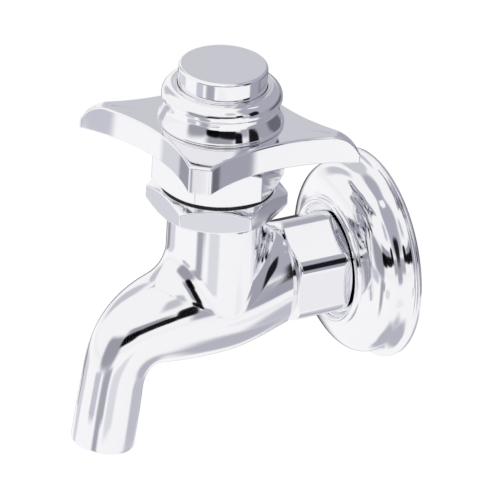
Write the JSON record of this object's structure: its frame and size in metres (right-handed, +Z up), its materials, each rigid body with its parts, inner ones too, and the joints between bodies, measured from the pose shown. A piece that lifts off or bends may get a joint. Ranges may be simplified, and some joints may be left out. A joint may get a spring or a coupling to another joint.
{
  "type": "push timed tap",
  "caption": "Wall-mounted self-closing tap: cast S-shaped spout on a domed wall flange, with a hexagon bonnet, a pointed finger grip and a sprung thumb button that opens the valve.",
  "frame": {"origin": "on the inlet axis at the plane of the wall, which is the back of the wall flange's rim", "axes": "+Z up, along the valve axis; +Y along the inlet into the wall, so the spout projects along -Y"},
  "size_m": [0.055, 0.0926, 0.1038],
  "materials": {
    "polished_chrome": "polished chrome plate on brass",
    "bare_brass": "turned brass",
    "black_rubber": "moulded rubber",
    "stainless_steel": "turned stainless steel",
    "spring_steel": "drawn spring wire",
    "white_nylon": "moulded nylon",
    "red_fibre": "vulcanised fibre sheet"
  },
  "bodies": {
    "tap": {"spout_body": "polished_chrome", "wall_flange": "polished_chrome", "inlet_strainer": "stainless_steel", "strainer_washer": "black_rubber", "valve_cage": "bare_brass", "cage_gasket": "red_fibre", "bonnet": "polished_chrome", "bonnet_gasket": "black_rubber", "guide_bush": "white_nylon", "stem_oring": "black_rubber", "gland_washer": "bare_brass", "gland_nut": "bare_brass", "wing_grip": "polished_chrome", "collar": "polished_chrome", "retaining_ring": "polished_chrome", "spring_washer": "stainless_steel", "return_spring": "spring_steel"},
    "plunger": {"push_button": "polished_chrome", "button_locknut": "bare_brass", "stem": "stainless_steel", "cup_follower": "bare_brass", "piston_cup": "black_rubber", "piston": "bare_brass", "piston_nut": "bare_brass", "valve_disc": "black_rubber", "disc_holder": "bare_brass", "disc_nut": "bare_brass"}
  },
  "joints": [
    {"name": "button_press", "type": "slide", "parent": "tap", "child": "plunger", "axis": [0, 0, -1], "range_m": [0, 0.0045], "stiffness_N_per_m": 2500, "springref_m": -0.004, "deforming": ["return_spring"]}
  ]
}
